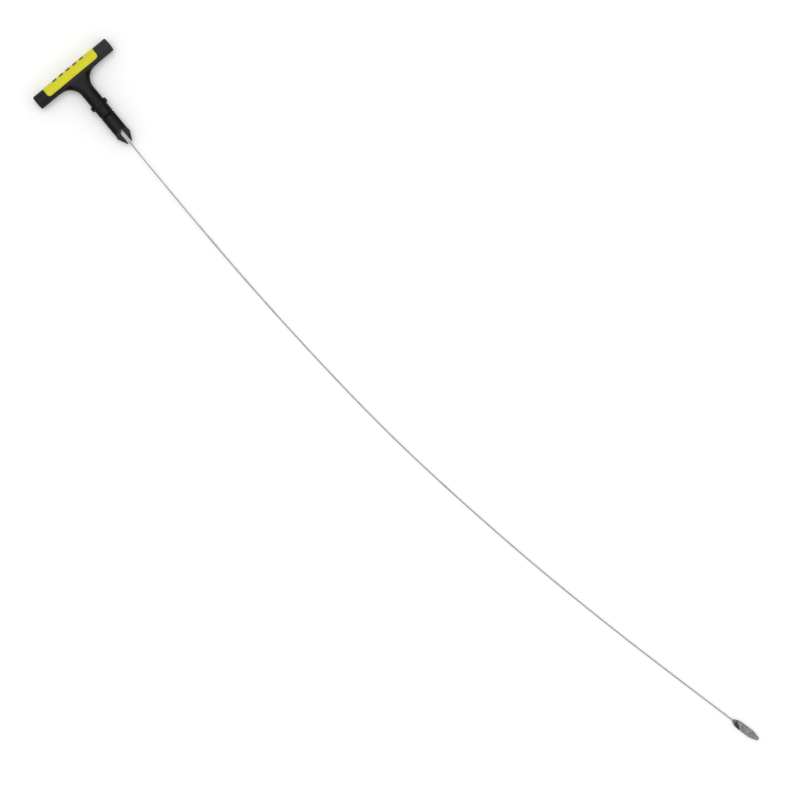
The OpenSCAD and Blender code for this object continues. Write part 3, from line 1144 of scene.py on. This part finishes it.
def curvedSlab(name, s):
    # a slab bent round the bar's axis: outline with round corners, rounded outer edges
    crowding = 1.5
    arcHalf = s["halfAngle"] * s["outer"]
    v = crowded(s["rows"], crowding) * arcHalf
    corner = np.clip(np.abs(v) - (arcHalf - s["corner"]), 0, s["corner"])
    lengthHalf = s["halfLength"] - s["corner"] + np.sqrt(s["corner"] ** 2 - corner**2)
    us = lengthHalf[:, None] * crowded(s["columns"], crowding)[None, :]
    vs = np.repeat(v[:, None], s["columns"], axis=1)
    qx = np.abs(us) - (s["halfLength"] - s["corner"])
    qy = np.abs(vs) - (arcHalf - s["corner"])
    inner = np.minimum(np.maximum(qx, qy), 0)
    rim = s["corner"] - (np.hypot(np.maximum(qx, 0), np.maximum(qy, 0)) + inner)
    rim = np.maximum(rim, 0)
    outer = s["outer"] - edgeDrop(rim, s["edge"])
    angle = vs / s["outer"]
    layers = [
        np.stack([barX - radius * np.cos(angle), us + s["middle"], radius * np.sin(angle)], axis=-1)
        for radius in (outer, np.full_like(outer, s["inner"]))
    ]
    made = closedGrid(name, layers)
    faceOutwards(made, mergeWithin=0)
    storeOnBoth(made, "rim", unit(1 - rim / 0.6))
    return made


def pocketFor(base, grow, above):
    # a slightly larger slab, to cut the pocket that a slab sits in
    s = dict(base)
    s["halfAngle"] = base["halfAngle"] + grow / base["outer"]
    for key in ("halfLength", "corner"):
        s[key] = base[key] + grow
    s["inner"], s["outer"], s["edge"] = base["inner"] - 0.02, base["outer"] + above, 0.01
    return curvedSlab("pocket", s)


panelSet = {
    "outer": panelHigh[2],
    "inner": 4.2,
    "halfAngle": math.pi / 2 + math.asin((panelHigh[0] - barX) / panelHigh[2]),
    "halfLength": (panelHigh[1] - panelLow[1]) / 2,
    "middle": (panelHigh[1] + panelLow[1]) / 2,
    "corner": 2.5,
    "edge": 0.32,
    "gap": 0.15,  # round the panel in its pocket
    "rows": 90,
    "columns": 120,
}

markSet = {
    "count": 5,
    "length": 3.4,
    "pitch": 6.0,
    "outer": barX - marksLow[0],
    "inner": 4.8,
    "width": 7.4,  # across the crest
    "corner": 0.5,
    "edge": 0.18,
    "gap": 0.03,
    "rows": 22,
    "columns": 16,
}


def markAt(offset):
    # the slab of one bar, offset along the row from the panel's middle
    s = dict(markSet)
    s["halfLength"] = markSet["length"] / 2
    s["halfAngle"] = math.asin(markSet["width"] / 2 / panelSet["outer"])
    s["middle"] = panelSet["middle"] + offset
    return s


def makePanel():
    panel = curvedSlab("panel_moulding", panelSet)
    for i in range(markSet["count"]):
        offset = (i - (markSet["count"] - 1) / 2) * markSet["pitch"]
        cutOrJoin(panel, pocketFor(markAt(offset), markSet["gap"], 1), "DIFFERENCE")
    return finishPiece(panel, materials["yellow"], "grip_panel", sharp=40)


def rowTree():
    # evenly spaced copies of the incoming shape, in a row along Y
    tree, given = newTree("evenRow", {"Count": "Int", "Pitch": "Float"})
    gaps = mathNode(tree, "SUBTRACT", given["Count"], 1.0)
    length = mathNode(tree, "MULTIPLY", gaps, given["Pitch"])
    first = {"Y": mathNode(tree, "MULTIPLY", length, -0.5)}
    row = addNode(tree, "GeometryNodeMeshLine", {
        "Count": given["Count"],
        "Start Location": addNode(tree, "ShaderNodeCombineXYZ", first).outputs[0],
        "Offset": addNode(tree, "ShaderNodeCombineXYZ", {"Y": given["Pitch"]}).outputs[0],
    })
    placing = {"Points": row.outputs[0], "Instance": given["Geometry"]}
    copies = addNode(tree, "GeometryNodeInstanceOnPoints", placing)
    return endTree(tree, copies.outputs[0], given["Material"])


def makeMarks():
    made = curvedSlab("crest_bars", markAt(0))
    growWith(made, rowTree(), {
        "Count": markSet["count"],
        "Pitch": markSet["pitch"],
        "Material": materials["inlay"],
    })
    applyModifiers(made)
    return finishPiece(made, materials["inlay"], "panel_marks", sharp=50)


def storeWear(made):
    # how convex the surface is at each point, so that rims show wear
    work = bmesh.new()
    work.from_mesh(made.data)
    work.normal_update()
    values = np.zeros(len(work.verts))
    for vertex in work.verts:
        bends = [
            edge.calc_face_angle_signed(0.0) for edge in vertex.link_edges if edge.is_manifold
        ]
        if bends:
            values[vertex.index] = sum(bends) / len(bends)
    work.free()
    values = (values - handleSet["wearFrom"]) * handleSet["wear"]
    storeValue(made, "wear", unit(values))


def makeHandle():
    core = makeCore()
    print("   core", len(core.data.polygons), "faces")
    plug = lathe("plug", plugProfile(), plugSet["segments"])
    cutOrJoin(plug, slotTool(), "DIFFERENCE")
    cutOrJoin(plug, sleeveHole(), "DIFFERENCE")
    cutOrJoin(core, plug, "UNION")
    cutOrJoin(core, pocketFor(panelSet, panelSet["gap"], 1.2), "DIFFERENCE")
    faceOutwards(core)
    storeWear(core)
    core.name = "handle_moulding"
    return finishPiece(core, materials["nylon"], "handle", sharp=32)


sealSet = {
    "lipRadius": 0.6,
    "flankShare": 0.34,  # height of the band beside the lip, as a share of the lip's radius
    "backEdge": 0.25,
    "frontEdge": 0.2,
    "foot": 0.1,  # bevel at the groove's bottom
    "gap": 0.02,
    "flash": 0.02,  # height of the moulding line
    "flashAngle": 5,  # degrees over which it fades
    "segments": 160,
}


def makeSealRing():
    # flat band with a raised lip and a fine moulding line round the lip
    s = sealSet
    start, end, outer = sealLow[0], sealHigh[0], sealHigh[2]
    foot, edge, front = s["foot"], s["backEdge"], s["frontEdge"]
    inner = plugSet["radius"] - plugSet["grooveDepth"] + s["gap"]
    lipX = end - s["lipRadius"] - 0.2
    lipR = outer - s["flash"] - s["lipRadius"]
    flank = lipR + s["lipRadius"] * s["flankShare"]
    section = [(start + foot, inner), (start, inner + foot), (start, flank - edge)]
    section += arcPoints((start + edge, flank - edge), edge, 165, 90, 4)
    section += [(lipX - s["lipRadius"] - 0.15, flank)]
    for angle in np.linspace(160, 20, 29):
        r = s["lipRadius"] + s["flash"] * math.exp(-(((angle - 90) / s["flashAngle"]) ** 2))
        turn = math.radians(angle)
        section.append((lipX + r * math.cos(turn), lipR + r * math.sin(turn)))
    section += arcPoints((end - front, flank - edge), front, 75, 0, 4)
    section += [(end, inner + foot), (end - foot, inner)]
    turns = np.arange(s["segments"]) * 2 * math.pi / s["segments"]
    rings = [
        np.array([(x, r * math.cos(turn), r * math.sin(turn)) for x, r in section]) for turn in turns
    ]
    made = tubeFromRings("seal_ring_rubber", rings)
    return finishPiece(made, materials["rubber"], "seal_ring", sharp=60)


print("building the handle")
makeHandle()
makePanel()
makeMarks()
makeSleeve()
makeSealRing()
print("handle made")

studioSet = {
    "floorSize": 30.0,
    "world": 0.71,
    "key": (55.0, 2.6, (-0.6, 0.0, 3.5)),  # watts, size and place in metres
    "fill": (8.0, 1.0, (2.6, 1.4, 2.2)),
    "lightsAim": (0.3, 0.0, 0.0),
}


def addFloor():
    half = studioSet["floorSize"] / 2
    corners = [(-half, -half), (half, -half), (half, half), (-half, half)]
    floor = newObject("floor", [(x, y, surfaceZ * mm) for x, y in corners], [(0, 1, 2, 3)])
    floor.data.materials.append(materials["floor"])


def addAreaLight(name, power, size, place):
    data = bpy.data.lights.new(name, "AREA")
    data.energy = power
    data.size = size
    light = addObject(name, data)
    light.location = place
    aim = Vector(studioSet["lightsAim"]) - Vector(place)
    light.rotation_euler = aim.to_track_quat("-Z", "Y").to_euler()


def addWorld():
    world = bpy.data.worlds.new("studio")
    world.use_nodes = True
    back = world.node_tree.nodes["Background"]
    back.inputs["Color"].default_value = (1, 1, 1, 1)
    back.inputs["Strength"].default_value = studioSet["world"]
    bpy.context.scene.world = world


addFloor()
addAreaLight("keyLight", *studioSet["key"])
addAreaLight("fillLight", *studioSet["fill"])
addWorld()
bpy.context.scene.view_settings.view_transform = "Standard"
print("studio set")
